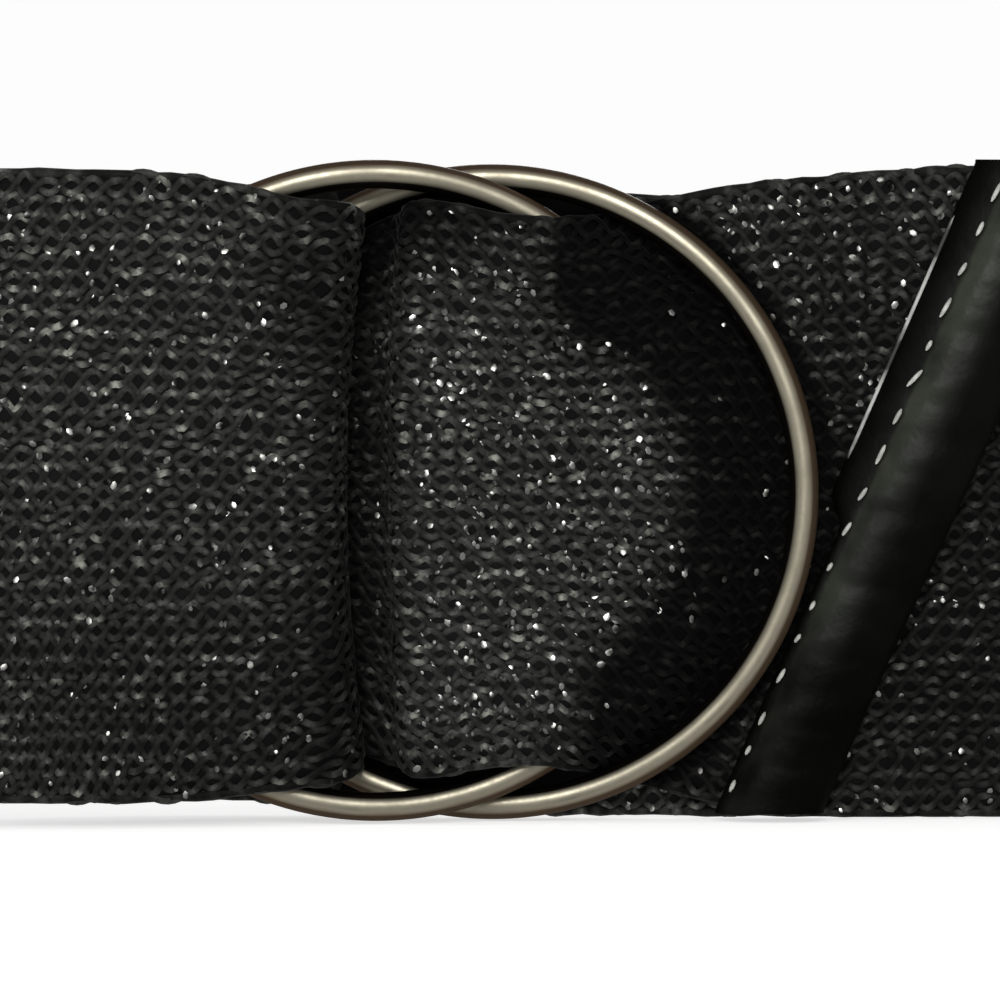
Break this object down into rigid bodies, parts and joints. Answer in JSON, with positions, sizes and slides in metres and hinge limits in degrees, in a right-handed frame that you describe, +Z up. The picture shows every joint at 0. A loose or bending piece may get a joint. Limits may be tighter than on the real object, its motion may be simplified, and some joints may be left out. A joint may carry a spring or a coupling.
{
  "type": "mesh belt",
  "caption": "Knitted net waist belt fastened through a pair of round wire O-rings, with its slanted tip bound in faux leather, standing as a closed loop.",
  "frame": {"origin": "middle of the belt's footprint, on the surface that its lower edge stands on", "axes": "+Z up along the wearer's waist, -Y towards the front where the buckle is, +X towards the tongue's free end"},
  "size_m": [0.2609, 0.2002, 0.0553],
  "materials": {
    "knitted_net": "black knitted net with small metallic glints",
    "antique_nickel": "dark antique nickel plate, polished",
    "faux_leather": "soft black faux leather, semi-matt"
  },
  "bodies": {
    "root": {"strap": "knitted_net", "front_ring": "antique_nickel", "back_ring": "antique_nickel", "tip_binding": "faux_leather"}
  },
  "joints": []
}
